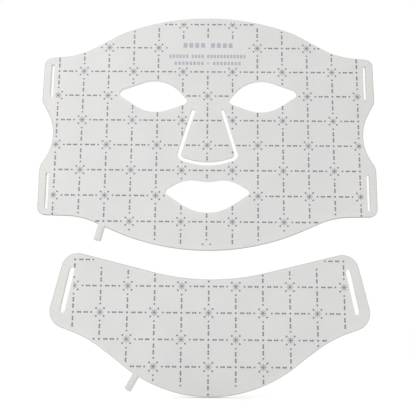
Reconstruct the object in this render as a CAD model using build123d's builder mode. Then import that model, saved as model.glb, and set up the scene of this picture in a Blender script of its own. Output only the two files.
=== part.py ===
from build123d import *
import os
from math import cos, radians, sin

os.makedirs("parts", exist_ok=True)

# Flexible LED treatment set: a face panel and a neck panel, each a front sheet, a flexible
# circuit with LEDs and a rear sheet.  The set stands as it is worn: X runs across the face,
# Z up it, and the side that lies on the skin is the plane y = 0.  The origin is between the
# brows, midway between two rows of LEDs.  All sizes are in millimetres.

# Layers, from the skin side forwards
REAR_THICKNESS = 2.4
FRONT_THICKNESS = 1.0
FLEX_THICKNESS = 0.2
FLEX_INSET = 4.0
FLEX_HALF_WIDTH = 137.6

# LEDs and resistors, soldered to the skin side of the circuit
LED_SIZE = 1.6
LED_HEIGHT = 0.8
LED_EDGE_MARGIN = 4.3
POCKET_CLEARANCE = 0.3
WINDOW_RADIUS = 4.0
WINDOW_DEPTH = 0.5
RESISTOR_LENGTH = 1.6
RESISTOR_WIDTH = 0.8
RESISTOR_HEIGHT = 0.45
RESISTOR_OFFSET = 7.0
RESISTOR_EDGE_MARGIN = 2.0

# LED grids: pitch across and down, and the middle of row 0
FACE_PITCH_X = 22.56
FACE_PITCH_Z = 23.0
FACE_ROW_0_Z = FACE_PITCH_Z / 2
FACE_ROWS = range(-2, 7)
FACE_COLUMNS = range(-6, 7)
NECK_X = 2.8
NECK_PITCH_X = 23.2
NECK_PITCH_Z = 22.4
NECK_ROW_0_Z = -182.4
NECK_ROWS = range(-1, 4)
NECK_COLUMNS = range(-5, 6)

# Bending lines, halfway between two columns of LEDs
INNER_HINGE_X = 2.5 * FACE_PITCH_X
OUTER_HINGE_X = 4.5 * FACE_PITCH_X
NECK_HINGE_X = 1.5 * NECK_PITCH_X
HINGE_GAP = 0.4
PANEL_END_X = 170.0
STRIP_HEIGHT = 700.0

# Right halves of the symmetric outlines, as corners (x, z, rounding radius), top to bottom
FACE_HALF = [
    (0, 75, 212),  # forehead
    (77.6, 48.9, 80),
    (116.6, 26.4, 70),
    (149.5, 23.3, 7),  # upper rail
    (150, -17.6, 6),
    (131.9, -51.1, 42),  # waist at the ear
    (149.4, -77.5, 14),  # lower rail
    (149.4, -121.6, 7),
    (111, -122.4, 68),
    (0, -171.6, 208),  # chin
]
NECK_HALF = [
    (0, -183.1, 200),
    (125.0, -152.1, 14),  # rail
    (139.4, -213.9, 15),
    (101.7, -227.6, 105),
    (0, -306.5, 120),
]
MOUTH_HALF = [
    (0, -91.2, 25),
    (19.5, -88.4, 27),
    (39.8, -100.1, 3),
    (0, -126.6, 40),
]
RIGHT_EYE = [
    (39.4, 7.9, 31),
    (85.0, -8.5, 4),
    (51.8, -30.4, 33),
    (16.3, -17.8, 4),
]

# Slots for the straps: the middles of their two ends, and the width
FACE_SLOT_X = 142.0
FACE_SLOT_WIDTH = 2.5
FACE_SLOTS_Z = [(16.2, -12.7), (-85.1, -114.9)]
NECK_SLOT_TOP = (119.3, -169.6)
NECK_SLOT_BOTTOM = (126.0, -203.9)
NECK_SLOT_WIDTH = 4.3

# Slit that frees the nose flap: its centre line's right half, carried on above the flap's hinge
NOSE_SLIT_WIDTH = 3.2
NOSE_HALF = [(7.1, -5.6, 0), (26.6, -69.1, 5), (0, -77.3, 60)]
NOSE_HINGE_Z = -25.6
NOSE_SLIT_END_X = 13.25

# Moulded tails with the lead sockets: middle of the tip, and tilt from straight down
TAIL_WIDTH = 6.4
TAIL_DEPTH = 4.6
TAIL_CORNER = 1.9
TAIL_LENGTH = 23.0
TAIL_CLEARANCE = 0.1
TAIL_AXIS_Y = -TAIL_DEPTH / 2
FACE_TAIL = ("face", (-95.9, -144), 15.0)
NECK_TAIL = ("neck", (-65.7, -269.7), 29.0)
SOCKET_RADIUS = 1.25
SOCKET_WALL = 0.4
SOCKET_LENGTH = 10.0
SOCKET_RECESS = 0.6
TIP_CONTACT_LENGTH = 1.2
WIRE_RADIUS = 0.35
WIRE_HOLE_RADIUS = 0.4
WIRE_SPACING = 2.0
WIRE_OVERHANG = 3.5
WIRE_Y = -REAR_THICKNESS + FLEX_THICKNESS + WIRE_RADIUS
SOLDER_POCKET = (4.0, 4.5)
SOLDER_POCKET_DEPTH = 1.0


def mirrored(half, centre_x=0.0):
    """All the corners of a symmetric outline from those of its right half."""
    left = [(-x, z, r) for x, z, r in reversed(half) if x > 0]
    return [(centre_x + x, z, r) for x, z, r in half + left]


def rounded_area(corners, grow=0.0):
    """The area inside rounded corners, grown (or shrunk, below 0) all round."""
    with BuildSketch() as area:
        with BuildLine():
            FilletPolyline(*[(x, z) for x, z, _ in corners], radius=[r for *_, r in corners], close=True)
        make_face()
        if grow:
            offset(amount=grow, kind=Kind.INTERSECTION, mode=Mode.REPLACE)
    return area.sketch


def slot_area(start, end, width):
    """A straight slot with round ends, given the middles of its ends."""
    with BuildSketch() as area:
        with BuildLine(mode=Mode.PRIVATE) as middle:
            Line(start, end)
        SlotArc(middle.wire(), width)
    return area.sketch


def nose_area(grow, top_z):
    """The area inside the slit's centre line, grown or shrunk, and cut off at a height."""
    with BuildSketch() as area:
        add(rounded_area(mirrored(NOSE_HALF), grow))
        with Locations((0, top_z - STRIP_HEIGHT / 2)):
            Rectangle(2 * PANEL_END_X, STRIP_HEIGHT, mode=Mode.INTERSECT)
    return area.sketch


def nose_opening(inset):
    """What the face panel leaves free for the nose flap and its slit, with round slit ends."""
    reach = NOSE_SLIT_WIDTH / 2 + inset
    with BuildSketch() as area:
        add(nose_area(reach, NOSE_HINGE_Z))
        add(nose_area(-NOSE_SLIT_WIDTH / 2, NOSE_HINGE_Z + HINGE_GAP / 2))
        with Locations((NOSE_SLIT_END_X, NOSE_HINGE_Z), (-NOSE_SLIT_END_X, NOSE_HINGE_Z)):
            Circle(reach)
    return area.sketch


def tail_area(tail, inset):
    """Plan of a tail, which the panel's layers leave free."""
    _, (tip_x, tip_z), tilt = tail
    middle = TAIL_LENGTH / 2
    centre = (tip_x + middle * sin(radians(tilt)), tip_z + middle * cos(radians(tilt)))
    with BuildSketch() as area:
        with Locations(Location(centre, -tilt)):
            Rectangle(
                TAIL_WIDTH + 2 * (TAIL_CLEARANCE + inset),
                TAIL_LENGTH + 2 * (TAIL_CLEARANCE + inset),
            )
    return area.sketch


def face_area(inset=0.0, tail_inset=0.0):
    """The face panel without its nose flap, set in from every edge."""
    with BuildSketch() as area:
        add(rounded_area(mirrored(FACE_HALF), -inset))
        add(rounded_area(mirrored(MOUTH_HALF), inset), mode=Mode.SUBTRACT)
        for side in (1, -1):
            eye = [(side * x, z, r) for x, z, r in RIGHT_EYE]
            add(rounded_area(eye, inset), mode=Mode.SUBTRACT)
            for top_z, bottom_z in FACE_SLOTS_Z:
                slot_x = side * FACE_SLOT_X
                slot = slot_area((slot_x, top_z), (slot_x, bottom_z), FACE_SLOT_WIDTH)
                add(slot, mode=Mode.SUBTRACT)
        add(nose_opening(inset), mode=Mode.SUBTRACT)
        add(tail_area(FACE_TAIL, tail_inset), mode=Mode.SUBTRACT)
    return area.sketch


def neck_area(inset=0.0, tail_inset=0.0):
    """The neck panel, set in from every edge."""
    with BuildSketch() as area:
        add(rounded_area(mirrored(NECK_HALF, NECK_X), -inset))
        for side in (1, -1):
            ends = [(NECK_X + side * x, z) for x, z in (NECK_SLOT_TOP, NECK_SLOT_BOTTOM)]
            add(slot_area(*ends, NECK_SLOT_WIDTH + 2 * inset), mode=Mode.SUBTRACT)
        add(tail_area(NECK_TAIL, tail_inset), mode=Mode.SUBTRACT)
    return area.sketch


def flap_area(inset=0.0):
    """The nose flap, which the slit frees on three sides."""
    return nose_area(-NOSE_SLIT_WIDTH / 2 - inset, NOSE_HINGE_Z - HINGE_GAP / 2)


def strip_of(area, from_x, to_x):
    """The part of an area between two bending lines, with half the hinge gap off each side."""
    left, right = from_x + HINGE_GAP / 2, to_x - HINGE_GAP / 2
    with BuildSketch() as strip:
        add(area)
        with Locations(((left + right) / 2, 0)):
            Rectangle(right - left, STRIP_HEIGHT, mode=Mode.INTERSECT)
    return strip.sketch


def is_clear(area, spot, margin):
    """True where a spot lies in an area, at least the margin from every edge."""
    point = Vector(*spot)
    return any(face.is_inside(point) for face in area.faces()) and (
        min(edge.distance_to(point) for edge in area.edges()) >= margin
    )


def led_spots(area, columns, rows, pitch_x, pitch_z, centre_x, row_0_z):
    """Grid crossings that have room for an LED: red ones, then near-infrared ones."""
    red, near_infrared = [], []
    for column in columns:
        for row in rows:
            spot = (centre_x + column * pitch_x, row_0_z - row * pitch_z)
            if is_clear(area, spot, LED_EDGE_MARGIN):
                (red if (column + row) % 2 else near_infrared).append(spot)
    return red, near_infrared


def tail_plane(tail, from_tip, y=TAIL_AXIS_Y):
    """Cross-section plane of a tail at a distance in from its tip, facing out of the tip."""
    _, (tip_x, tip_z), tilt = tail
    s, c = sin(radians(tilt)), cos(radians(tilt))
    origin = (tip_x + from_tip * s, y, tip_z + from_tip * c)
    return Plane(origin=origin, x_dir=(c, 0, -s), z_dir=(-s, 0, -c))


def finish(part, name):
    """Name a finished piece and write its file."""
    part.label = name
    export_step(part, f"parts/{name}.step")


FRONT_PLANE = Plane.XZ.offset(REAR_THICKNESS)
FLEX_BACK_PLANE = Plane.XZ.offset(REAR_THICKNESS - FLEX_THICKNESS)

face_sheet, neck_sheet, flap_sheet = face_area(), neck_area(), flap_area()
face_flex, neck_flex, flap_flex = face_area(FLEX_INSET), neck_area(FLEX_INSET), flap_area(FLEX_INSET / 2)
face_grid = (FACE_COLUMNS, FACE_ROWS, FACE_PITCH_X, FACE_PITCH_Z, 0.0, FACE_ROW_0_Z)
neck_grid = (NECK_COLUMNS, NECK_ROWS, NECK_PITCH_X, NECK_PITCH_Z, NECK_X, NECK_ROW_0_Z)

# Strips between bending lines: name, sheet area, flex area, LED grid, from x, to x, tail
STRIPS = [
    ("face_left_edge", face_sheet, face_flex, face_grid, -PANEL_END_X, -OUTER_HINGE_X, None),
    ("face_left_wing", face_sheet, face_flex, face_grid, -OUTER_HINGE_X, -INNER_HINGE_X, FACE_TAIL),
    ("face_centre", face_sheet, face_flex, face_grid, -INNER_HINGE_X, INNER_HINGE_X, None),
    ("face_right_wing", face_sheet, face_flex, face_grid, INNER_HINGE_X, OUTER_HINGE_X, None),
    ("face_right_edge", face_sheet, face_flex, face_grid, OUTER_HINGE_X, PANEL_END_X, None),
    ("nose_flap", flap_sheet, flap_flex, face_grid, -INNER_HINGE_X, INNER_HINGE_X, None),
    ("neck_left", neck_sheet, neck_flex, neck_grid, -PANEL_END_X, NECK_X - NECK_HINGE_X, NECK_TAIL),
    ("neck_centre", neck_sheet, neck_flex, neck_grid, NECK_X - NECK_HINGE_X, NECK_X + NECK_HINGE_X, None),
    ("neck_right", neck_sheet, neck_flex, neck_grid, NECK_X + NECK_HINGE_X, PANEL_END_X, None),
]

for name, sheet_area, flex_whole, grid, from_x, to_x, tail in STRIPS:
    sheet = strip_of(sheet_area, from_x, to_x)
    flex = strip_of(flex_whole, max(from_x, -FLEX_HALF_WIDTH), min(to_x, FLEX_HALF_WIDTH))
    red_spots, infrared_spots = led_spots(sheet, *grid)
    spots = red_spots + infrared_spots
    resistor_spots = []
    if name.endswith("centre"):
        raised = [(x, z + RESISTOR_OFFSET) for x, z in spots]
        resistor_spots = [spot for spot in raised if is_clear(flex, spot, RESISTOR_EDGE_MARGIN)]

    # Front sheet: plain silicone, printed later
    with BuildPart() as front_sheet:
        with BuildSketch(FRONT_PLANE):
            add(sheet)
        extrude(amount=FRONT_THICKNESS)
    finish(front_sheet.part, f"{name}_front_sheet")

    # Flexible circuit, let into the rear sheet
    with BuildPart() as flex_circuit:
        with BuildSketch(FLEX_BACK_PLANE):
            add(flex)
        extrude(amount=FLEX_THICKNESS)
    finish(flex_circuit.part, f"{name}_flex_circuit")

    # Rear sheet: recess for the circuit, pockets for its components, thin windows at the LEDs
    with BuildPart() as rear_sheet:
        with BuildSketch(Plane.XZ):
            add(sheet)
        extrude(amount=REAR_THICKNESS)
        with BuildSketch(FLEX_BACK_PLANE):
            add(flex)
        extrude(amount=FLEX_THICKNESS, mode=Mode.SUBTRACT)
        with BuildSketch(FLEX_BACK_PLANE):
            with Locations(*spots):
                Rectangle(LED_SIZE + 2 * POCKET_CLEARANCE, LED_SIZE + 2 * POCKET_CLEARANCE)
        extrude(amount=-LED_HEIGHT - POCKET_CLEARANCE, mode=Mode.SUBTRACT)
        if resistor_spots:
            with BuildSketch(FLEX_BACK_PLANE):
                with Locations(*resistor_spots):
                    Rectangle(
                        RESISTOR_LENGTH + 2 * POCKET_CLEARANCE,
                        RESISTOR_WIDTH + 2 * POCKET_CLEARANCE,
                    )
            extrude(amount=-RESISTOR_HEIGHT - POCKET_CLEARANCE, mode=Mode.SUBTRACT)
        if tail:
            _, (tip_x, tip_z), tilt = tail
            reach = TAIL_LENGTH + SOLDER_POCKET[1] / 2
            middle = (tip_x + reach * sin(radians(tilt)), tip_z + reach * cos(radians(tilt)))
            with BuildSketch(FLEX_BACK_PLANE):
                with Locations(Location(middle, -tilt)):
                    Rectangle(*SOLDER_POCKET)
            extrude(amount=-SOLDER_POCKET_DEPTH, mode=Mode.SUBTRACT)
        with BuildSketch(Plane.XZ):
            with Locations(*spots):
                Circle(WINDOW_RADIUS)
        extrude(amount=WINDOW_DEPTH, mode=Mode.SUBTRACT)
    finish(rear_sheet.part, f"{name}_rear_sheet")

    # LED packages of each colour, one group of separate blocks each
    for colour, group in (("red", red_spots), ("infrared", infrared_spots)):
        with BuildPart() as leds:
            with BuildSketch(FLEX_BACK_PLANE):
                with Locations(*group):
                    Rectangle(LED_SIZE, LED_SIZE)
            extrude(amount=-LED_HEIGHT)
        finish(leds.part, f"{name}_{colour}_leds")

    if resistor_spots:
        with BuildPart() as resistors:
            with BuildSketch(FLEX_BACK_PLANE):
                with Locations(*resistor_spots):
                    Rectangle(RESISTOR_LENGTH, RESISTOR_WIDTH)
            extrude(amount=-RESISTOR_HEIGHT)
        finish(resistors.part, f"{name}_resistors")

for tail in (FACE_TAIL, NECK_TAIL):
    panel = tail[0]
    socket_end = SOCKET_RECESS + SOCKET_LENGTH
    contact_end = socket_end + TIP_CONTACT_LENGTH
    wire_end = TAIL_LENGTH + WIRE_OVERHANG

    # Moulded tail: open at the tip for the lead's plug, with two wire holes behind the socket
    with BuildPart() as sleeve:
        with BuildSketch(tail_plane(tail, TAIL_LENGTH)):
            RectangleRounded(TAIL_WIDTH, TAIL_DEPTH, TAIL_CORNER)
        extrude(amount=TAIL_LENGTH)
        with BuildSketch(tail_plane(tail, 0)):
            Circle(SOCKET_RADIUS + SOCKET_WALL)
        extrude(amount=-contact_end, mode=Mode.SUBTRACT)
        with BuildSketch(tail_plane(tail, TAIL_LENGTH, WIRE_Y)):
            with GridLocations(WIRE_SPACING, 0, 2, 1):
                Circle(WIRE_HOLE_RADIUS)
        extrude(amount=TAIL_LENGTH - contact_end, mode=Mode.SUBTRACT)
    finish(sleeve.part, f"{panel}_tail_sleeve")

    # Outer contact of the socket, a plain tube just inside the tip
    with BuildPart() as socket_tube:
        with BuildSketch(tail_plane(tail, socket_end)):
            Circle(SOCKET_RADIUS + SOCKET_WALL)
            Circle(SOCKET_RADIUS, mode=Mode.SUBTRACT)
        extrude(amount=SOCKET_LENGTH)
    finish(socket_tube.part, f"{panel}_socket_tube")

    # Inner contact, a disc that closes the tube's far end
    with BuildPart() as tip_contact:
        with BuildSketch(tail_plane(tail, contact_end)):
            Circle(SOCKET_RADIUS + SOCKET_WALL)
        extrude(amount=TIP_CONTACT_LENGTH)
    finish(tip_contact.part, f"{panel}_tip_contact")

    # Two wires from the contact to the circuit
    with BuildPart() as tail_wires:
        with BuildSketch(tail_plane(tail, wire_end, WIRE_Y)):
            with GridLocations(WIRE_SPACING, 0, 2, 1):
                Circle(WIRE_RADIUS)
        extrude(amount=wire_end - contact_end)
    finish(tail_wires.part, f"{panel}_tail_wires")
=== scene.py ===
from math import atan2, ceil, cos, inf, pi, radians, sin, tan

import bmesh
import bpy
import numpy as np
from mathutils import Matrix, Quaternion, Vector
from mathutils.geometry import delaunay_2d_cdt


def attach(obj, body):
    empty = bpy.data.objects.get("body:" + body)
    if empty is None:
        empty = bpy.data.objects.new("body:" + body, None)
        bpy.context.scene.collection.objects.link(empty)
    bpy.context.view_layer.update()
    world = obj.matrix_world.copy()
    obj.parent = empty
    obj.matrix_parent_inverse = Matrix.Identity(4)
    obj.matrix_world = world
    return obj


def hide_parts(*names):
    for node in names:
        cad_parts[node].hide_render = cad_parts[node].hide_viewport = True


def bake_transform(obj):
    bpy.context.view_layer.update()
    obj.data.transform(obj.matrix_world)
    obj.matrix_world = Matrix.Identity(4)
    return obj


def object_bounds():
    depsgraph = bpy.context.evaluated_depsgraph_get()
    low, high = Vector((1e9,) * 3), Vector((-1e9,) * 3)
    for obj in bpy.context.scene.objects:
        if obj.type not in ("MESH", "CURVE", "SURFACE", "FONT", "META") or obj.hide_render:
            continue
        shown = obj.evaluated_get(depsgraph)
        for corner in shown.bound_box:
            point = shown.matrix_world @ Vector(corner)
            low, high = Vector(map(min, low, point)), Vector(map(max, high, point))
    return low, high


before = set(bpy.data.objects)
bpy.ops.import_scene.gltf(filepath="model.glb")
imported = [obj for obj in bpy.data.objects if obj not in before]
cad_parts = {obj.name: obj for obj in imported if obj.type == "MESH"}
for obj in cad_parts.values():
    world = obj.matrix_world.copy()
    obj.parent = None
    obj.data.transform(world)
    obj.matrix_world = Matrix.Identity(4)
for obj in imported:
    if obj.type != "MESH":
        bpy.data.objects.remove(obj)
cad_low, cad_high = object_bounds()

MM = 0.001

# The CAD model's outlines, in mm: corners (x, z, rounding radius) of right halves, top to bottom
FACE_HALF = [
    (0, 75, 212), (77.6, 48.9, 80), (116.6, 26.4, 70), (149.5, 23.3, 7), (150, -17.6, 6),
    (131.9, -51.1, 42), (149.4, -77.5, 14), (149.4, -121.6, 7), (111, -122.4, 68), (0, -171.6, 208),
]
NECK_X = 2.8
NECK_HALF = [
    (0, -183.1, 200), (125.0, -152.1, 14), (139.4, -213.9, 15), (101.7, -227.6, 105), (0, -306.5, 120),
]
MOUTH_HALF = [(0, -91.2, 25), (19.5, -88.4, 27), (39.8, -100.1, 3), (0, -126.6, 40)]
RIGHT_EYE = [(39.4, 7.9, 31), (85.0, -8.5, 4), (51.8, -30.4, 33), (16.3, -17.8, 4)]
FACE_SLOT_X = 142.0
FACE_SLOT_WIDTH = 2.5
FACE_SLOTS_Z = [(16.2, -12.7), (-85.1, -114.9)]
NECK_SLOT_TOP = (119.3, -169.6)
NECK_SLOT_BOTTOM = (126.0, -203.9)
NECK_SLOT_WIDTH = 4.3
NOSE_HALF = [(7.1, -5.6, 0), (26.6, -69.1, 5), (0, -77.3, 60)]
NOSE_SLIT_WIDTH = 3.2
NOSE_SLIT_END = (13.25, -25.6)

# Grids of LEDs: middle of column 0, pitch across, middle of row 0, pitch down
FACE_GRID = (0.0, 22.56, 11.5, 23.0)
NECK_GRID = (NECK_X, 23.2, -182.4, 22.4)
# The print has the same pitch, but was put on slightly out of line with the LEDs
FACE_PRINT_GRID = (-0.5, 22.56, 11.1, 23.0)
NECK_PRINT_GRID = (NECK_X - 0.85, 23.2, -183.0, 22.4)
# Columns and rows that the print can have
FACE_SPAN = (range(-6, 7), range(-3, 8))
NECK_SPAN = (range(-5, 6), range(-2, 5))
# The face panel's circuit ends short of the strap rails
FACE_FLEX_HALF_WIDTH = 137.6

# Layers, from the printed front face to the rear face at y = 0
FRONT_Y = -3.4
JOIN_Y = -2.4
FLEX_Y = -2.2
LED_TOP_Y = -1.4
WINDOW_Y = -0.5
WINDOW_RADIUS = 3.1
LENS_RADIUS = 2.3
LED_HALF = 0.8

# Section through a sheet's edge, as (distance in from the edge, y), front to back
EDGE_PROFILE = [
    (1.1, FRONT_Y), (0.55, FRONT_Y), (0.3, -3.36), (0.1, -3.22), (0.0, -2.98), (0.0, -2.52),
    (0.09, JOIN_Y), (0.0, -2.28), (0.0, -0.42), (0.08, -0.17), (0.26, -0.03), (0.5, 0.0), (1.1, 0.0),
]
# Section through a window over an LED, as (radius, y), from the rear face down to the circuit.
# It is narrower than the CAD window, to stay clear of the rounded edges.
WINDOW_PROFILE = [
    (WINDOW_RADIUS, 0.0), (2.99, -0.01), (2.88, -0.07), (2.8, -0.19), (2.73, -0.34), (2.62, -0.45),
    (2.48, WINDOW_Y), (2.36, -0.53), (LENS_RADIUS, -0.62), (LENS_RADIUS, FLEX_Y),
]
WINDOW_SIDES = 28
# Points that fill a sheet: distances of the rings from the edge, where the grid starts, room round a window
FILL_RINGS = (2.8, 5.2)
FILL_GRID_START = 6.4
WINDOW_ROOM = 4.4

# Material numbers of a sheet
FRONT, REAR, CIRCUIT = 0, 1, 2

# Where the sheets are cut into pieces: half-way between two columns of LEDs
FACE_CUT, FACE_OUTER_CUT = 1.5 * FACE_GRID[1], 3.5 * FACE_GRID[1]
NECK_CUT = 0.5 * NECK_GRID[1]
FLAP_CUT_Z = -24.6
INNER_BEND = (35.4, 77.4)
OUTER_BEND = (98.5, 121.0)
NECK_BEND = (14.2, 52.8)
FLAP_BEND = (-25.4, -29.0)


def sideways(side, bend, centre_x=0.0):
    """Start and end, as (x, z), of a bend on one side of a panel."""
    return tuple((centre_x + side * x, 0) for x in bend)


# The body that each piece rides on, or the two that it bends between and where that bend starts and ends
PIECES = {
    "face_outer_left": ("face_left_wing", "face_left_edge", *sideways(-1, OUTER_BEND)),
    "face_left": ("face_centre", "face_left_wing", *sideways(-1, INNER_BEND)),
    "face_middle": ("face_centre",),
    "face_right": ("face_centre", "face_right_wing", *sideways(1, INNER_BEND)),
    "face_outer_right": ("face_right_wing", "face_right_edge", *sideways(1, OUTER_BEND)),
    "nose_flap": ("face_centre", "nose_flap", *((0, z) for z in FLAP_BEND)),
    "neck_left": ("neck_centre", "neck_left", *sideways(-1, NECK_BEND, NECK_X)),
    "neck_middle": ("neck_centre",),
    "neck_right": ("neck_centre", "neck_right", *sideways(1, NECK_BEND, NECK_X)),
}
# The CAD strip that each piece stands for
STRIP = {
    "face_outer_left": "face_left_edge", "face_left": "face_left_wing", "face_middle": "face_centre",
    "face_right": "face_right_wing", "face_outer_right": "face_right_edge", "nose_flap": "nose_flap",
    "neck_left": "neck_left", "neck_middle": "neck_centre", "neck_right": "neck_right",
}


# ---------------------------------------------------------------- outlines

def mirrored(half, centre_x=0.0):
    """All the corners of a symmetric outline from those of its right half."""
    left = [(-x, z, r) for x, z, r in reversed(half) if x > 0]
    return [(centre_x + x, z, r) for x, z, r in half + left]


def corner_arc(before, corner, after, spacing):
    """Points round one corner, from tangent point to tangent point."""
    here, radius = Vector(corner[:2]), corner[2]
    if radius == 0:
        return [here]
    back, on = (Vector(before[:2]) - here).normalized(), (Vector(after[:2]) - here).normalized()
    half = back.angle(on) / 2
    centre = here + (back + on).normalized() * (radius / sin(half))
    start, end = here + back * (radius / tan(half)) - centre, here + on * (radius / tan(half)) - centre
    sweep = atan2(start.x * end.y - start.y * end.x, start.dot(end))
    steps = max(4, ceil(abs(sweep) * radius / min(spacing, max(0.4, radius * 0.16))))
    arc = []
    for k in range(steps + 1):
        a = sweep * k / steps
        turned_x, turned_y = start.x * cos(a) - start.y * sin(a), start.x * sin(a) + start.y * cos(a)
        arc.append(centre + Vector((turned_x, turned_y)))
    return arc


def rounded_loop(corners, spacing=2.8):
    """Points round a closed outline of rounded corners, with the straight stretches divided."""
    count = len(corners)
    arcs = [corner_arc(corners[i - 1], corners[i], corners[(i + 1) % count], spacing) for i in range(count)]
    points = []
    for arc, following in zip(arcs, arcs[1:] + arcs[:1]):
        points += arc
        gap = (following[0] - arc[-1]).length
        parts = max(1, ceil(gap / spacing))
        points += [arc[-1].lerp(following[0], k / parts) for k in range(1, parts)]
    return np.array([p[:] for p in points])


def slot_loop(start, end, width):
    """Points round a straight slot with round ends, given the middles of its ends."""
    start, end = np.array(start, float), np.array(end, float)
    length = np.linalg.norm(end - start)
    along = (end - start) / length
    heading, points = atan2(along[1], along[0]), []
    for middle, turn in ((end, -pi / 2), (start, pi / 2)):
        for k in range(13):
            a = heading + turn + pi * k / 12
            points.append(middle + width / 2 * np.array((cos(a), sin(a))))
        for k in range(1, 10):
            side = np.array((-along[1], along[0])) * width / 2 * (1 if middle is end else -1)
            towards = start if middle is end else end
            points.append(middle + side + (towards - middle) * k / 10)
    return np.array(points)


def slit_centre_line():
    """The nose slit's centre line, from its left end round to its right end."""
    whole = rounded_loop(mirrored(NOSE_HALF)[::-1], 0.9)
    end_x, end_z = NOSE_SLIT_END
    inner = [p for p in whole if p[1] < end_z - 0.5]
    return np.array([(-end_x, end_z), *inner, (end_x, end_z)])


def slit_loop():
    """Points round the nose slit: out along one side of its centre line and back along the other."""
    line = slit_centre_line()
    tangent = np.gradient(line, axis=0)
    tangent /= np.linalg.norm(tangent, axis=1)[:, None]
    side = np.stack((-tangent[:, 1], tangent[:, 0]), 1) * NOSE_SLIT_WIDTH / 2
    caps = []
    for i, sign in ((-1, 1), (0, -1)):
        turns = [pi * k / 10 for k in range(1, 10)]
        ahead = tangent[i] * NOSE_SLIT_WIDTH / 2
        caps.append([line[i] - sign * (side[i] * cos(a)) + sign * ahead * sin(a) for a in turns])
    return np.array([*(line - side), *caps[0], *(line + side)[::-1], *caps[1]])


def turned(loop, anticlockwise):
    """The loop in the asked direction, seen with x to the right and z up."""
    x, z = loop[:, 0], loop[:, 1]
    area = np.sum(x * np.roll(z, -1) - np.roll(x, -1) * z)
    return loop if (area > 0) == anticlockwise else loop[::-1]


def set_in(loop, distance):
    """The loop moved into the material: outlines run anticlockwise, openings clockwise."""
    tangent = np.roll(loop, -1, 0) - np.roll(loop, 1, 0)
    tangent /= np.linalg.norm(tangent, axis=1)[:, None]
    return loop - np.stack((tangent[:, 1], -tangent[:, 0]), 1) * distance


def is_inside(points, loops):
    """True for points inside the outline and outside the openings."""
    hit = np.zeros(len(points), bool)
    px, pz = points[:, 0][:, None], points[:, 1][:, None]
    for loop in loops:
        a, b = loop, np.roll(loop, -1, 0)
        rise = np.where(b[:, 1] == a[:, 1], 1e-12, b[:, 1] - a[:, 1])
        level = (a[:, 1] > pz) != (b[:, 1] > pz)
        crossing = level & (px < (b[:, 0] - a[:, 0]) * (pz - a[:, 1]) / rise + a[:, 0])
        hit ^= crossing.sum(1) % 2 == 1
    return hit


def edge_distance(points, loops):
    """Distance from each point to the nearest edge."""
    nearest = np.full(len(points), 1e9)
    for loop in loops:
        step = np.roll(loop, -1, 0) - loop
        long = np.maximum((step**2).sum(1), 1e-12)
        for start in range(0, len(points), 1500):
            rel = points[start : start + 1500, None] - loop[None]
            t = np.clip((rel * step).sum(2) / long, 0, 1)
            d = np.sqrt(((rel - t[..., None] * step) ** 2).sum(2)).min(1)
            nearest[start : start + 1500] = np.minimum(nearest[start : start + 1500], d)
    return nearest


def face_loops():
    """The face panel's outline and openings."""
    openings = [rounded_loop(mirrored(MOUTH_HALF), 2.0), slit_loop()]
    for side in (1, -1):
        openings.append(rounded_loop([(side * x, z, r) for x, z, r in RIGHT_EYE], 2.0))
        for ends_z in FACE_SLOTS_Z:
            openings.append(slot_loop(*((side * FACE_SLOT_X, z) for z in ends_z), FACE_SLOT_WIDTH))
    return [turned(rounded_loop(mirrored(FACE_HALF)), True)] + [turned(o, False) for o in openings]


def neck_loops():
    """The neck panel's outline and strap slots."""
    openings = []
    for side in (1, -1):
        ends = [(NECK_X + side * x, z) for x, z in (NECK_SLOT_TOP, NECK_SLOT_BOTTOM)]
        openings.append(slot_loop(*ends, NECK_SLOT_WIDTH))
    return [turned(rounded_loop(mirrored(NECK_HALF, NECK_X)), True)] + [turned(o, False) for o in openings]


FLAP_LOOP = rounded_loop(mirrored(NOSE_HALF))


def face_pieces(points):
    """Names of the face pieces that spots belong to."""
    x, z = points[:, 0], points[:, 1]
    names = np.where(x < 0, "face_left", "face_right").astype("<U20")
    names[x < -FACE_OUTER_CUT] = "face_outer_left"
    names[x > FACE_OUTER_CUT] = "face_outer_right"
    names[np.abs(x) < FACE_CUT] = "face_middle"
    names[(z < FLAP_CUT_Z) & is_inside(points, [FLAP_LOOP])] = "nose_flap"
    return names


def neck_pieces(points):
    """Names of the neck pieces that spots belong to."""
    x = points[:, 0]
    names = np.where(x < NECK_X, "neck_left", "neck_right").astype("<U20")
    names[np.abs(x - NECK_X) < NECK_CUT] = "neck_middle"
    return names


def grouped(items, middles, pieces_of):
    """Items sorted into the pieces that their middles lie in."""
    groups = {}
    for item, piece in zip(items, pieces_of(np.array(middles))):
        groups.setdefault(str(piece), []).append(item)
    return groups


# ---------------------------------------------------------------- meshes

class Shell:
    """Vertices, welded where they meet, and faces with a material number."""

    def __init__(self):
        self.vertices, self.faces, self.slots, self.known = [], [], [], {}

    def vertex(self, x, y, z):
        """The number of the vertex at a place, made if it is new."""
        key = (round(x, 4), round(y, 4), round(z, 4))
        if key not in self.known:
            self.known[key] = len(self.vertices)
            self.vertices.append((x, y, z))
        return self.known[key]

    def face(self, corners, slot=0):
        """A face round the given vertices, unless welding has left it with too few."""
        corners = [c for i, c in enumerate(corners) if c != corners[i - 1]]
        if len(corners) > 2:
            self.faces.append(corners)
            self.slots.append(slot)

    def band(self, ring_a, ring_b, slot=0):
        """Quads between two closed rings of as many points."""
        a, b = [self.vertex(*p) for p in ring_a], [self.vertex(*p) for p in ring_b]
        for i in range(len(a)):
            self.face([a[i - 1], a[i], b[i], b[i - 1]], slot)

    def cap(self, ring, slot=0):
        """One face that closes a ring."""
        self.face([self.vertex(*p) for p in ring], slot)


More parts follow.
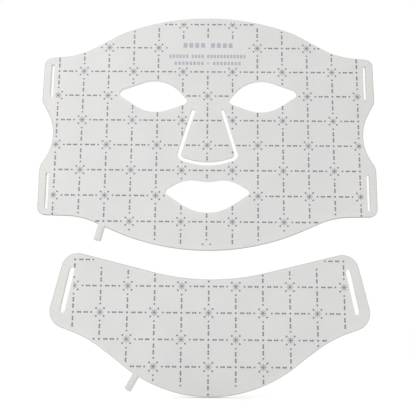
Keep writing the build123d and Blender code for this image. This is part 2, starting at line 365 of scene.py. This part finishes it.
def faced_outwards(shell):
    """The shell's faces, turned so that their normals point out of it."""
    mesh = bmesh.new()
    vertices = [mesh.verts.new(v) for v in shell.vertices]
    for corners, slot in zip(shell.faces, shell.slots):
        mesh.faces.new([vertices[c] for c in corners]).material_index = slot
    mesh.faces.index_update()
    bmesh.ops.recalc_face_normals(mesh, faces=mesh.faces)
    mesh.verts.index_update()
    faces = [([v.index for v in f.verts], f.material_index) for f in mesh.faces]
    mesh.free()
    return faces


def add_object(name, vertices, faces, materials, sharp_angle=40.0):
    """A smooth-shaded object from points in mm and faces given as (corners, material number)."""
    used = sorted({c for corners, _ in faces for c in corners})
    place = {old: new for new, old in enumerate(used)}
    data = bpy.data.meshes.new(name)
    points = [tuple(MM * v for v in vertices[i]) for i in used]
    data.from_pydata(points, [], [[place[c] for c in corners] for corners, _ in faces])
    data.polygons.foreach_set("material_index", [slot for _, slot in faces])
    data.polygons.foreach_set("use_smooth", [True] * len(faces))
    for material in materials:
        data.materials.append(material)
    data.update()
    data.set_sharp_from_angle(angle=radians(sharp_angle))
    made = bpy.data.objects.new(name, data)
    bpy.context.scene.collection.objects.link(made)
    return made, used


def circle(x, z, radius, y, sides):
    """Points of a circle that faces front and back."""
    turns = [2 * pi * k / sides for k in range(sides)]
    return [(x + radius * cos(a), y, z + radius * sin(a)) for a in turns]


def settled(made, piece):
    """Attaches an object to its one body; a piece listed with two bodies has its placement baked into its
    mesh instead.
    """
    bodies = PIECES[piece]
    if len(bodies) == 1:
        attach(made, bodies[0])
    else:
        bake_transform(made)


# ---------------------------------------------------------------- silicone sheets

def filling_points(loops, grid, spots, extra):
    """Points that fill a sheet: rings near its edges, then a grid, clear of the windows."""
    x_0, pitch_x, z_0, pitch_z = grid
    kept, taken = [], set()

    def keep(points, clearance, cell):
        points = points[is_inside(points, loops)]
        points = points[edge_distance(points, loops) >= clearance]
        if spots:
            to_window = np.linalg.norm(points[:, None] - np.array(spots)[None], axis=2).min(1)
            points = points[to_window > WINDOW_ROOM]
        for x, z in points:
            key = (round(x / cell), round(z / cell))
            if key not in taken:
                taken.add(key)
                kept.append((x, z))

    for distance in FILL_RINGS:
        for loop in loops:
            keep(set_in(loop, distance), distance - 0.2, 1.3)
    columns = x_0 + np.arange(-56, 57) * pitch_x / 8
    rows = z_0 + np.arange(-48, 49) * pitch_z / 4
    keep(np.array([(x, z) for x in columns for z in rows]), FILL_GRID_START, 0.5)
    if len(extra):
        keep(extra, 1.5, 0.4)
    return kept


def cut_edges(points, cuts, longest=7):
    """Pairs of neighbouring points that lie on an upright cut."""
    pairs = []
    for cut in cuts:
        line = sorted((z, i) for i, (x, z) in enumerate(points) if abs(x - cut) < 0.01)
        pairs += [(i, j) for (z, i), (w, j) in zip(line, line[1:]) if w - z < longest]
    return pairs


def fill_sheet(shell, y, rims, circles, inner, cuts, slot):
    """Triangles between the rims of a sheet at one depth."""
    points, edges = [], []
    for rim in rims + circles:
        first, count = len(points), len(rim)
        points += [tuple(p) for p in rim]
        edges += [(first + i, first + (i + 1) % count) for i in range(count)]
    first = len(points)
    points += inner
    edges += [(first + i, first + j) for i, j in cut_edges(inner, cuts)]
    made = delaunay_2d_cdt([Vector(p) for p in points], edges, [], 0, 1e-6)
    places, faces = [v[:] for v in made[0]], made[2]
    middles = np.array([np.mean([places[i] for i in f], axis=0) for f in faces])
    wanted = is_inside(middles, rims + circles)
    for f, good in zip(faces, wanted):
        if good:
            shell.face([shell.vertex(places[i][0], y, places[i][1]) for i in f], slot)


def add_window(shell, x, z):
    """A shallow round window in the rear face, with a clear well down to the circuit."""
    rings = [circle(x, z, radius, y, WINDOW_SIDES) for radius, y in WINDOW_PROFILE]
    for a, b in zip(rings, rings[1:]):
        shell.band(a, b, REAR)
    shell.cap(rings[-1], CIRCUIT)


def sheet_shell(loops, grid, spots, cuts, extra):
    """One whole panel, front sheet and rear sheet together."""
    shell = Shell()
    for loop in loops:
        rings = [[(x, y, z) for x, z in set_in(loop, d)] for d, y in EDGE_PROFILE]
        for a, b in zip(rings, rings[1:]):
            shell.band(a, b, FRONT if b[0][1] <= JOIN_Y else REAR)
    front = [set_in(loop, EDGE_PROFILE[0][0]) for loop in loops]
    rear = [set_in(loop, EDGE_PROFILE[-1][0]) for loop in loops]
    rims = [np.array(circle(x, z, WINDOW_RADIUS, 0, WINDOW_SIDES))[:, ::2] for x, z in spots]
    fill_sheet(shell, FRONT_Y, front, [], filling_points(loops, grid, [], extra), cuts, FRONT)
    fill_sheet(shell, 0.0, rear, rims, filling_points(loops, grid, spots, extra), cuts, REAR)
    for x, z in spots:
        add_window(shell, x, z)
    return shell


def rim_share(points, loops, flex_half_width):
    """0 over the circuit, 0.5 in the border beyond it and 1 on the sheet's very edge, where the material
    paints shade on the rounded outer edge.
    """
    flat = np.array([(x, z) for x, _, z in points])
    depth = np.minimum(edge_distance(flat, loops), flex_half_width + 4.0 - np.abs(flat[:, 0]))
    t = np.clip((depth - 2.6) / 2.8, 0, 1)
    border = 0.5 - 0.5 * t * t * (3 - 2 * t)
    return np.where(edge_distance(flat, loops[:1]) < 0.32, 1.0, border)


def add_sheet(loops, grid, pieces_of, spots, cuts, extra, flex_half_width):
    """The silicone pieces of one panel."""
    shell = sheet_shell(loops, grid, spots, cuts, extra)
    rim = rim_share(shell.vertices, loops, flex_half_width)
    flat, faces = np.array(shell.vertices)[:, ::2], faced_outwards(shell)
    middles = [flat[corners].mean(0) for corners, _ in faces]
    looks = [MATERIALS[look] for look in ("front_silicone", "rear_silicone", "flex_film")]
    for piece, group in grouped(faces, middles, pieces_of).items():
        made, used = add_object(f"{piece}_sheet", shell.vertices, group, looks)
        rim_values = made.data.attributes.new("rim", "FLOAT", "POINT").data
        rim_values.foreach_set("value", rim[used].astype(np.float32))
        strip = STRIP[piece]
        nodes = [f"{strip}_{part}" for part in ("front_sheet", "flex_circuit", "rear_sheet", "resistors")]
        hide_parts(*[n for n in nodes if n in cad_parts])
        settled(made, piece)


# ---------------------------------------------------------------- LEDs and their windows

def led_spots(panel, colour, grid):
    """Middles of the panel's LEDs of one colour, read from the CAD nodes."""
    x_0, pitch_x, z_0, pitch_z = grid
    prefixes = ("neck",) if panel == "neck" else ("face", "nose")
    found = set()
    for name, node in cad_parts.items():
        if name.startswith(prefixes) and name.endswith(f"_{colour}_leds"):
            for vertex in node.data.vertices:
                x, _, z = vertex.co / MM
                found.add((round((x - x_0) / pitch_x), round((z_0 - z) / pitch_z)))
    return [(x_0 + c * pitch_x, z_0 - r * pitch_z) for c, r in sorted(found)]


def add_led(shell, x, z):
    """One LED package: a bevelled white block with a round cup and a small die in it."""
    def square(half, y):
        """A square with cut corners."""
        bevel = min(0.12, half * 0.3)
        short = half - bevel
        corners = [(half, -short), (half, short), (short, half), (-short, half),
                   (-half, short), (-half, -short), (-short, -half), (short, -half)]
        return [(x + a, y, z + b) for a, b in corners]

    turns = [pi * k / 4 - pi / 8 for k in range(8)]
    cup = [[(x + r * cos(a), y, z + r * sin(a)) for a in turns]
           for r, y in ((0.6, LED_TOP_Y), (0.5, LED_TOP_Y - 0.14))]
    die = [(x + (px - x) * 0.45, py, z + (pz - z) * 0.45) for px, py, pz in cup[1]]
    rings = [square(LED_HALF, FLEX_Y), square(LED_HALF, LED_TOP_Y - 0.06), square(0.74, LED_TOP_Y), *cup]
    shell.cap(rings[0], 0)
    for a, b in zip(rings, rings[1:]):
        shell.band(a, b, 0)
    shell.band(cup[1], die, 1)
    shell.cap(die, 2)


def add_lens(shell, x, z):
    """The clear silicone that fills a window's well, slightly domed."""
    radius, bottom = LENS_RADIUS - 0.04, LED_TOP_Y + 0.35
    profile = [(0.9, WINDOW_Y - 0.01), (1.7, WINDOW_Y - 0.03), (radius, WINDOW_Y - 0.13),
               (radius, bottom), (0.9, bottom)]
    rings = [circle(x, z, r, y, 24) for r, y in profile]
    shell.cap(rings[0])
    for a, b in zip(rings, rings[1:]):
        shell.band(a, b)
    shell.cap(rings[-1])


def add_spot_pieces(suffix, spots, pieces_of, build, materials, node_suffix=None):
    """One object per sheet piece that holds the same small part at each of its spots."""
    for piece, places in grouped(spots, spots, pieces_of).items():
        shell = Shell()
        for x, z in places:
            build(shell, x, z)
        made, _ = add_object(f"{piece}_{suffix}", shell.vertices, faced_outwards(shell), materials, 30)
        settled(made, piece)
        if node_suffix:
            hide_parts(f"{STRIP[piece]}_{node_suffix}")


# ---------------------------------------------------------------- print

INK_Y = FRONT_Y - 0.03
# Left, right, bottom and top of the part of the brow that the grid leaves free
TEXT_BLOCK = (-36.5, 36.5, 14.6, 43.2)
# Lines of plain blocks: left, right, bottom, top, and how many blocks each group has
TEXT_LINES = [
    (-23.9, 22.9, 34.0, 39.4, (4, 4)),
    (-36.1, 34.4, 24.0, 28.0, (6, 4, 12)),
    (-31.6, -3.9, 17.4, 21.2, (8,)),
    (3.6, 30.0, 17.4, 21.2, (8,)),
]
STAR_MIDDLE, STAR_RAY, STAR_REACH = 0.6, 0.24, 0.13
# Places on the way from a plain crossing to a star, as shares of the way
SQUARE_SHARES = (0.192, 0.276, 0.430, 0.518)
DOT_SHARE = 0.68


def disc_mark(x, z, radius):
    """A round dot."""
    return [(x + radius * cos(2 * pi * k / 12), z + radius * sin(2 * pi * k / 12)) for k in range(12)]


def block_mark(x, z, half_x, half_z):
    """A small rounded block."""
    c = 0.3 * min(half_x, half_z)
    left, right, bottom, top = x - half_x, x + half_x, z - half_z, z + half_z
    return [(right, bottom + c), (right, top - c), (right - c, top), (left + c, top),
            (left, top - c), (left, bottom + c), (left + c, bottom), (right - c, bottom)]


def star_mark(x, z, reach, allowed):
    """An eight-rayed star; rays that would leave the print area are left out."""
    points = []
    for k in range(8):
        a = k * pi / 4
        if allowed[k]:
            for side in (-STAR_RAY, STAR_RAY):
                points.append((x + reach * cos(a) - side * sin(a), z + reach * sin(a) + side * cos(a)))
        b = a + pi / 8
        points.append((x + STAR_MIDDLE * cos(b), z + STAR_MIDDLE * sin(b)))
    return points


def edge_marks(start, end):
    """Two pairs of squares and a dot on the way from a plain crossing to a star."""
    (x, z), (dx, dz) = start, (end[0] - start[0], end[1] - start[1])
    marks = [disc_mark(x + dx * DOT_SHARE, z + dz * DOT_SHARE, 0.78)]
    for share in SQUARE_SHARES:
        marks.append(block_mark(x + dx * share, z + dz * share, 0.84 if dx else 0.68, 0.84 if dz else 0.68))
    return marks


def in_block(points, block):
    """True for points in a block given by its left, right, bottom and top."""
    x, z = points[:, 0], points[:, 1]
    return (x > block[0]) & (x < block[1]) & (z > block[2]) & (z < block[3])


def print_margin(points, grid):
    """How far the marks keep from the edges: further along the brow and the lower edges."""
    z = points[:, 1]
    if grid is NECK_PRINT_GRID:
        return np.where(z < -215, 2.0, 1.3)
    return np.select([z < -135, z > 55], [3.0, 2.2], 0.9)


def may_print(points, loops, grid, span):
    """True for spots inside the printed area."""
    side_limit = max(span[0]) * grid[1] + 3.1
    clear = edge_distance(points, loops) > print_margin(points, grid)
    across = np.abs(points[:, 0] - grid[0]) < side_limit
    return is_inside(points, loops) & clear & across & ~in_block(points, TEXT_BLOCK)


def diagonal_dots(star, loops, offset):
    """Four dots between a star's rays, where the star has room."""
    middle = np.array([star])
    if not is_inside(middle, loops)[0] or edge_distance(middle, loops)[0] <= 2:
        return []
    return [disc_mark(star[0] + a * offset, star[1] + b * offset, 0.8) for a in (-1, 1) for b in (-1, 1)]


def grid_marks(loops, grid, span):
    """The dotted grid: plain dots and stars in turn at its crossings, and marks between them."""
    x_0, pitch_x, z_0, pitch_z = grid
    columns, rows = span
    marks, stars = [], []
    for c in columns:
        for r in rows:
            here = (x_0 + c * pitch_x, z_0 - r * pitch_z)
            is_star = (c + r) % 2 == 1
            if is_star:
                stars.append(here)
                marks += diagonal_dots(here, loops, 0.146 * pitch_x)
            else:
                marks.append(disc_mark(*here, 0.88))
            for to_c, to_r in ((c + 1, r), (c, r + 1)):
                there = (x_0 + to_c * pitch_x, z_0 - to_r * pitch_z)
                if to_c in columns and to_r in rows:
                    marks += edge_marks(there, here) if is_star else edge_marks(here, there)
    middles = np.array([np.mean(m, axis=0) for m in marks])
    kept = [m for m, good in zip(marks, may_print(middles, loops, grid, span)) if good]
    reach = STAR_REACH * pitch_x
    for x, z in stars:
        tips = np.array([(x + reach * cos(k * pi / 4), z + reach * sin(k * pi / 4)) for k in range(8)])
        allowed = may_print(tips, loops, grid, span)
        if may_print(np.array([(x, z)]), loops, grid, span)[0]:
            kept.append(star_mark(x, z, reach, allowed))
    return kept


def text_marks():
    """Plain blocks in place of the printed words, and a cross between the two last ones."""
    marks = []
    for left, right, bottom, top, words in TEXT_LINES:
        gaps = len(words) - 1
        pitch = (right - left) / (sum(words) + 0.7 * gaps)
        x = left
        for letters in words:
            for _ in range(letters):
                height = (top - bottom) / 2 * 0.86
                marks.append(block_mark(x + pitch / 2, (bottom + top) / 2, 0.34 * pitch, height))
                x += pitch
            x += 0.7 * pitch
    cross_x, cross_z, arm, half = -0.3, 19.3, 1.3, 0.35
    ring = [(arm, -half), (arm, half), (half, half), (half, arm), (-half, arm), (-half, half),
            (-arm, half), (-arm, -half), (-half, -half), (-half, -arm), (half, -arm), (half, -half)]
    return marks + [[(cross_x + a, cross_z + b) for a, b in ring]]


def add_print(marks, pieces_of, material, suffix):
    """Print as very thin raised marks on the front face, one object per sheet piece."""
    for piece, group in grouped(marks, [np.mean(m, axis=0) for m in marks], pieces_of).items():
        vertices, faces = [], []
        for mark in group:
            first, count = len(vertices), len(mark)
            vertices += [(x, INK_Y, z) for x, z in mark] + [(x, FRONT_Y + 0.05, z) for x, z in mark]
            faces.append((list(range(first, first + count)), 0))
            for i in range(count):
                j = (i + 1) % count
                faces.append(([first + i, first + count + i, first + count + j, first + j], 0))
        made, _ = add_object(f"{piece}_{suffix}", vertices, faces, [material], 30)
        settled(made, piece)


# ---------------------------------------------------------------- tails

# Tip's middle, tilt in degrees, body it rides on, and material
TAIL_PARTS = {
    "face": ((-95.9, -144.0), 15.0, "face_left_wing", "face_tail"),
    "neck": ((-65.7, -269.7), 29.0, "neck_left", "neck_tail"),
}
TAIL_HALF_WIDTH, TAIL_DEPTH, TAIL_SIDES = 3.2, 4.6, 48
TIP_ROUNDING, TIP_SHRINK = 1.1, 0.75


def smooth(a, b, value):
    """Smoothly from 0 at a to 1 at b."""
    t = min(1.0, max(0.0, (value - a) / (b - a)))
    return t * t * (3 - 2 * t)


def tail_section(inward):
    """Cross-section of a tail at a distance in from its tip, as (across, y).

    The tip is rounded. Near the panel the tail widens to meet the edge, then ends inside the sheet.
    """
    end = 1 - min(inward, TIP_ROUNDING) / TIP_ROUNDING
    shrink = TIP_SHRINK * (1 - (1 - end**2) ** 0.5)
    flare = 0.8 * (1 - (1 - smooth(12.2, 15.2, inward) ** 2) ** 0.5)
    half = TAIL_HALF_WIDTH - shrink + flare - 1.2 * smooth(15.2, 19.0, inward)
    front = -TAIL_DEPTH + shrink + (TAIL_DEPTH - 3.3) * smooth(11.4, 16.8, inward)
    rear = -shrink - 0.9 * smooth(12.6, 15.5, inward)
    middle, deep = (front + rear) / 2, (rear - front) / 2
    points = []
    for k in range(TAIL_SIDES):
        c, s = cos(2 * pi * k / TAIL_SIDES), sin(2 * pi * k / TAIL_SIDES)
        across = half * abs(c) ** 0.62 * (1 if c > 0 else -1)
        points.append((across, middle + deep * abs(s) ** 0.72 * (1 if s > 0 else -1)))
    return points


def tail_matrix(tip, tilt):
    """Places a tail whose own axis runs inwards along +Z from its tip."""
    return Matrix.Translation((tip[0] * MM, 0, tip[1] * MM)) @ Matrix.Rotation(radians(tilt), 4, "Y")


def add_tail(panel):
    """A moulded tail that runs out of the panel's lower edge, with the open socket in its tip."""
    tip, tilt, body, look = TAIL_PARTS[panel]
    stations = [0.0, 0.1, 0.25, 0.5, 0.8, 1.1, 2.0, 4.0, 6.0, 8.0, 10.0, 11.6]
    stations += [12.0 + 0.4 * k for k in range(12)] + [17.0 + 0.7 * k for k in range(9)]
    shell = Shell()
    rings = [[(x, y, v) for x, y in tail_section(v)] for v in stations]
    turns = [2 * pi * k / TAIL_SIDES for k in range(TAIL_SIDES)]
    bore = [[(r * cos(a), -TAIL_DEPTH / 2 + r * sin(a), v) for a in turns]
            for r, v in ((2.0, 0.0), (1.78, 0.03), (1.66, 0.15), (1.66, 0.62), (1.5, 0.62))]
    for a, b in zip(rings, rings[1:]):
        shell.band(a, b)
    shell.cap(rings[-1])
    shell.band(rings[0], bore[0])
    for a, b in zip(bore, bore[1:]):
        shell.band(a, b)
    shell.cap(bore[-1])
    made, _ = add_object(f"{panel}_tail", shell.vertices, faced_outwards(shell), [MATERIALS[look]], 50)
    made.matrix_world = tail_matrix(tip, tilt)
    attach(made, body)
    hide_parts(f"{panel}_tail_sleeve")


# ---------------------------------------------------------------- materials

def new_material(name, colour, roughness, **inputs):
    """A principled material, its nodes, its links and its shader."""
    material = bpy.data.materials.new(name)
    material.use_nodes = True
    nodes, links = material.node_tree.nodes, material.node_tree.links
    shader = nodes["Principled BSDF"]
    shader.inputs["Base Color"].default_value = (*colour, 1)
    shader.inputs["Roughness"].default_value = roughness
    for key, value in inputs.items():
        shader.inputs[key.replace("_", " ")].default_value = value
    return material, nodes, links, shader


def noise(nodes, links, scale, detail=3.0):
    """Noise in the object's own coordinates."""
    where = nodes.new("ShaderNodeTexCoord")
    texture = nodes.new("ShaderNodeTexNoise")
    texture.inputs["Scale"].default_value = scale
    texture.inputs["Detail"].default_value = detail
    links.new(where.outputs["Object"], texture.inputs["Vector"])
    return texture.outputs["Fac"]


def ramp(nodes, links, value, stops):
    """Colours along a value."""
    made = nodes.new("ShaderNodeValToRGB")
    while len(made.color_ramp.elements) < len(stops):
        made.color_ramp.elements.new(0.5)
    for element, (place, colour) in zip(made.color_ramp.elements, stops):
        element.position = place
        element.color = (*colour, 1)
    links.new(value, made.inputs["Fac"])
    return made.outputs["Color"]


def multiplied(nodes, links, a, b):
    """Two colours multiplied."""
    mix = nodes.new("ShaderNodeMix")
    mix.data_type, mix.blend_type = "RGBA", "MULTIPLY"
    mix.inputs["Factor"].default_value = 1.0
    # A mix node's colour sockets share their names with others, so they go by number
    links.new(a, mix.inputs[6])
    links.new(b, mix.inputs[7])
    return mix.outputs[2]


def roughened(nodes, links, shader, value, low, high):
    """Roughness that varies with a value."""
    spread = nodes.new("ShaderNodeMapRange")
    spread.inputs["To Min"].default_value, spread.inputs["To Max"].default_value = low, high
    links.new(value, spread.inputs["Value"])
    links.new(spread.outputs["Result"], shader.inputs["Roughness"])


def bumped(nodes, links, shader, value, strength, distance):
    """Small bumps that follow a value."""
    bump = nodes.new("ShaderNodeBump")
    bump.inputs["Strength"].default_value = strength
    bump.inputs["Distance"].default_value = distance
    links.new(value, bump.inputs["Height"])
    links.new(bump.outputs["Normal"], shader.inputs["Normal"])


def silicone(name, over_circuit, along_edge):
    """Milky satin silicone: cloudy tone, a warmer border, painted shade that darkens the rounded outer
    edge, fine matt grain.
    """
    material, nodes, links, shader = new_material(name, over_circuit, 0.5)
    clouds = noise(nodes, links, 28.0, 4.0)
    rim = nodes.new("ShaderNodeAttribute")
    rim.attribute_name = "rim"
    # Painted shade: the sheet's rounded outer edge is darkened to 0.55 of the border tone
    edge_painted_shade = tuple(0.55 * c for c in along_edge)
    base = ramp(nodes, links, rim.outputs["Fac"], [(0.0, over_circuit), (0.5, along_edge), (1.0, edge_painted_shade)])
    tint = ramp(nodes, links, clouds, [(0.3, (0.955, 0.957, 0.962)), (0.7, (1.0, 1.0, 0.995))])
    links.new(multiplied(nodes, links, base, tint), shader.inputs["Base Color"])
    roughened(nodes, links, shader, noise(nodes, links, 160.0, 3.0), 0.42, 0.58)
    bumped(nodes, links, shader, noise(nodes, links, 2600.0, 2.0), 0.25, 0.0002)
    shader.inputs["IOR"].default_value = 1.41
    return material


def tail_silicone(name, tip_colour):
    """The same silicone, with the tint of the contact showing through at the tip."""
    body_colour = (0.60, 0.593, 0.58)
    material, nodes, links, shader = new_material(name, body_colour, 0.5)
    where = nodes.new("ShaderNodeTexCoord")
    split = nodes.new("ShaderNodeSeparateXYZ")
    spread = nodes.new("ShaderNodeMapRange")
    spread.inputs["From Max"].default_value = 0.014
    links.new(where.outputs["Object"], split.inputs["Vector"])
    links.new(split.outputs["Z"], spread.inputs["Value"])
    stops = [(0.0, tip_colour), (0.16, tip_colour), (0.34, body_colour)]
    along = ramp(nodes, links, spread.outputs["Result"], stops)
    clouds = noise(nodes, links, 90.0)
    tint = ramp(nodes, links, clouds, [(0.3, (0.965, 0.965, 0.965)), (0.7, (1.0, 1.0, 1.0))])
    links.new(multiplied(nodes, links, along, tint), shader.inputs["Base Color"])
    bumped(nodes, links, shader, noise(nodes, links, 2600.0, 2.0), 0.25, 0.0002)
    shader.inputs["IOR"].default_value = 1.41
    return material


def ink(name, colour):
    """Matt screen-printed ink with slightly uneven cover."""
    material, nodes, links, shader = new_material(name, colour, 0.6)
    paler = tuple(min(1.0, c * 1.25 + 0.02) for c in colour)
    cover = noise(nodes, links, 900.0, 3.0)
    links.new(ramp(nodes, links, cover, [(0.35, colour), (0.75, paler)]), shader.inputs["Base Color"])
    roughened(nodes, links, shader, cover, 0.5, 0.7)
    return material


def speckled(name, dark, light, scale, roughness, **inputs):
    """A surface whose colour wanders between two tones."""
    material, nodes, links, shader = new_material(name, light, roughness, **inputs)
    value = noise(nodes, links, scale, 4.0)
    links.new(ramp(nodes, links, value, [(0.35, dark), (0.65, light)]), shader.inputs["Base Color"])
    bumped(nodes, links, shader, value, 0.2, 0.0001)
    return material


def clear_silicone():
    """Clear silicone over an LED."""
    material, nodes, links, shader = new_material(
        "clear_silicone", (0.93, 0.92, 0.90), 0.12, Transmission_Weight=0.68, IOR=1.41
    )
    roughened(nodes, links, shader, noise(nodes, links, 700.0), 0.08, 0.16)
    return material


MATERIALS = {
    "front_silicone": silicone("front_silicone", (0.607, 0.602, 0.591), (0.617, 0.609, 0.592)),
    "rear_silicone": silicone("rear_silicone", (0.625, 0.62, 0.606), (0.637, 0.628, 0.61)),
    "face_tail": tail_silicone("face_tail", (0.60, 0.585, 0.565)),
    "neck_tail": tail_silicone("neck_tail", (0.63, 0.575, 0.525)),
    "flex_film": speckled("flex_film", (0.76, 0.72, 0.62), (0.86, 0.83, 0.75), 400.0, 0.45),
    "led_package": speckled("led_package", (0.88, 0.87, 0.84), (0.94, 0.93, 0.91), 2500.0, 0.35),
    "red_cup": speckled("red_cup", (0.88, 0.50, 0.26), (0.94, 0.62, 0.36), 2500.0, 0.2),
    "infrared_cup": speckled("infrared_cup", (0.42, 0.41, 0.47), (0.54, 0.53, 0.58), 2500.0, 0.2),
    "led_die": speckled("led_die", (0.62, 0.50, 0.12), (0.78, 0.66, 0.22), 4000.0, 0.2),
    "grid_ink": ink("grid_ink", (0.14, 0.135, 0.17)),
    "text_ink": ink("text_ink", (0.33, 0.33, 0.37)),
    "clear_silicone": clear_silicone(),
    "contact_metal": speckled(
        "contact_metal", (0.66, 0.38, 0.22), (0.80, 0.50, 0.32), 900.0, 0.28, Metallic=1.0
    ),
    "wire": speckled("wire", (0.70, 0.70, 0.70), (0.80, 0.80, 0.80), 900.0, 0.5),
    "floor": speckled("floor", (0.88, 0.88, 0.88), (0.92, 0.92, 0.92), 3.0, 0.8),
}


def paint(node, material):
    """Gives a CAD node that stays a finished material."""
    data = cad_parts[node].data
    data.materials.clear()
    data.materials.append(material)


# ---------------------------------------------------------------- surroundings

def add_camera():
    """A camera a little below the middle, looking slightly up at the front."""
    data = bpy.data.cameras.new("camera")
    data.sensor_width, data.lens = 36.0, 52.6
    data.clip_start = 0.01
    camera = bpy.data.objects.new("camera", data)
    camera.location = (0.0040, -0.5294, -0.2026)
    forward = Vector((-0.0062, 0.9863, 0.1649)).normalized()
    camera.rotation_mode = "QUATERNION"
    camera.rotation_quaternion = Quaternion(forward, radians(-0.48)) @ forward.to_track_quat("-Z", "Y")
    bpy.context.scene.collection.objects.link(camera)
    bpy.context.scene.camera = camera


def add_light(name, place, target, size, power):
    """A round soft light at a place, turned towards a target."""
    data = bpy.data.lights.new(name, "AREA")
    data.shape, data.size, data.energy = "DISK", size, power
    light = bpy.data.objects.new(name, data)
    light.location = place
    light.rotation_mode = "QUATERNION"
    light.rotation_quaternion = (Vector(target) - Vector(place)).to_track_quat("-Z", "Y")
    bpy.context.scene.collection.objects.link(light)


def add_floor():
    """A wide pale disc under the panels."""
    top, sides = cad_low.z / MM - 0.5, 96
    turns = [2 * pi * k / sides for k in range(sides)]
    points = [(500 * cos(a), 500 * sin(a), z) for z in (top, top - 12) for a in turns]
    faces = [(list(range(sides)), 0), (list(range(2 * sides - 1, sides - 1, -1)), 0)]
    faces += [([(k + 1) % sides, k, sides + k, sides + (k + 1) % sides], 0) for k in range(sides)]
    made, _ = add_object("floor", points, faces, [MATERIALS["floor"]])


def add_world():
    """Plain white surroundings: white to the eye, a softer fill for the object."""
    world = bpy.data.worlds.new("studio")
    world.use_nodes = True
    nodes, links = world.node_tree.nodes, world.node_tree.links
    seen = nodes.new("ShaderNodeLightPath")
    strength = nodes.new("ShaderNodeMapRange")
    strength.inputs["To Min"].default_value, strength.inputs["To Max"].default_value = 0.62, 1.0
    links.new(seen.outputs["Is Camera Ray"], strength.inputs["Value"])
    background = nodes["Background"]
    background.inputs["Color"].default_value = (1, 1, 1, 1)
    links.new(strength.outputs["Result"], background.inputs["Strength"])
    bpy.context.scene.world = world


# ---------------------------------------------------------------- assembly

def flap_rows():
    """Closer points across the nose flap's bend."""
    rows = (FLAP_CUT_Z, -25.5, -26.4, -27.3, -28.2, -29.2)
    return np.array([(x, z) for z in rows for x in np.arange(-9.0, 9.1, 2.25)])


face_outline, neck_outline = face_loops(), neck_loops()
face_red, face_infrared = led_spots("face", "red", FACE_GRID), led_spots("face", "infrared", FACE_GRID)
neck_red, neck_infrared = led_spots("neck", "red", NECK_GRID), led_spots("neck", "infrared", NECK_GRID)

add_sheet(
    face_outline, FACE_GRID, face_pieces, face_red + face_infrared,
    (-FACE_OUTER_CUT, -FACE_CUT, FACE_CUT, FACE_OUTER_CUT), flap_rows(), FACE_FLEX_HALF_WIDTH,
)
add_sheet(
    neck_outline, NECK_GRID, neck_pieces, neck_red + neck_infrared,
    (NECK_X - NECK_CUT, NECK_X + NECK_CUT), [], inf,
)
red = [MATERIALS["led_package"], MATERIALS["red_cup"], MATERIALS["led_die"]]
infrared = [MATERIALS["led_package"], MATERIALS["infrared_cup"], MATERIALS["led_die"]]
clear = [MATERIALS["clear_silicone"]]
for spots_red, spots_infrared, pieces_of in (
    (face_red, face_infrared, face_pieces),
    (neck_red, neck_infrared, neck_pieces),
):
    add_spot_pieces("red_leds_look", spots_red, pieces_of, add_led, red, "red_leds")
    add_spot_pieces(
        "infrared_leds_look", spots_infrared, pieces_of, add_led, infrared, "infrared_leds"
    )
    add_spot_pieces("lenses", spots_red + spots_infrared, pieces_of, add_lens, clear)

for outline, grid, span, pieces_of in (
    (face_outline, FACE_PRINT_GRID, FACE_SPAN, face_pieces),
    (neck_outline, NECK_PRINT_GRID, NECK_SPAN, neck_pieces),
):
    add_print(grid_marks(outline, grid, span), pieces_of, MATERIALS["grid_ink"], "grid_print")
add_print(text_marks(), face_pieces, MATERIALS["text_ink"], "word_blocks")

for panel in ("face", "neck"):
    add_tail(panel)
    paint(f"{panel}_socket_tube", MATERIALS["contact_metal"])
    paint(f"{panel}_tip_contact", MATERIALS["contact_metal"])
    paint(f"{panel}_tail_wires", MATERIALS["wire"])

add_camera()
add_floor()
add_world()
add_light("key", (-0.45, -0.6, 0.26), (0, 0, -0.03), 0.5, 2.6)
add_light("fill", (0.42, -0.55, -0.42), (0.12, 0, -0.27), 0.5, 1.3)
add_light("overhead", (0, 0, 1.1), (0, 0, -0.3), 1.6, 15.0)
add_light("rear", (0.3, 0.9, 0.5), (0, 0, -0.11), 0.8, 3.0)
bpy.context.scene.view_settings.view_transform = "Standard"
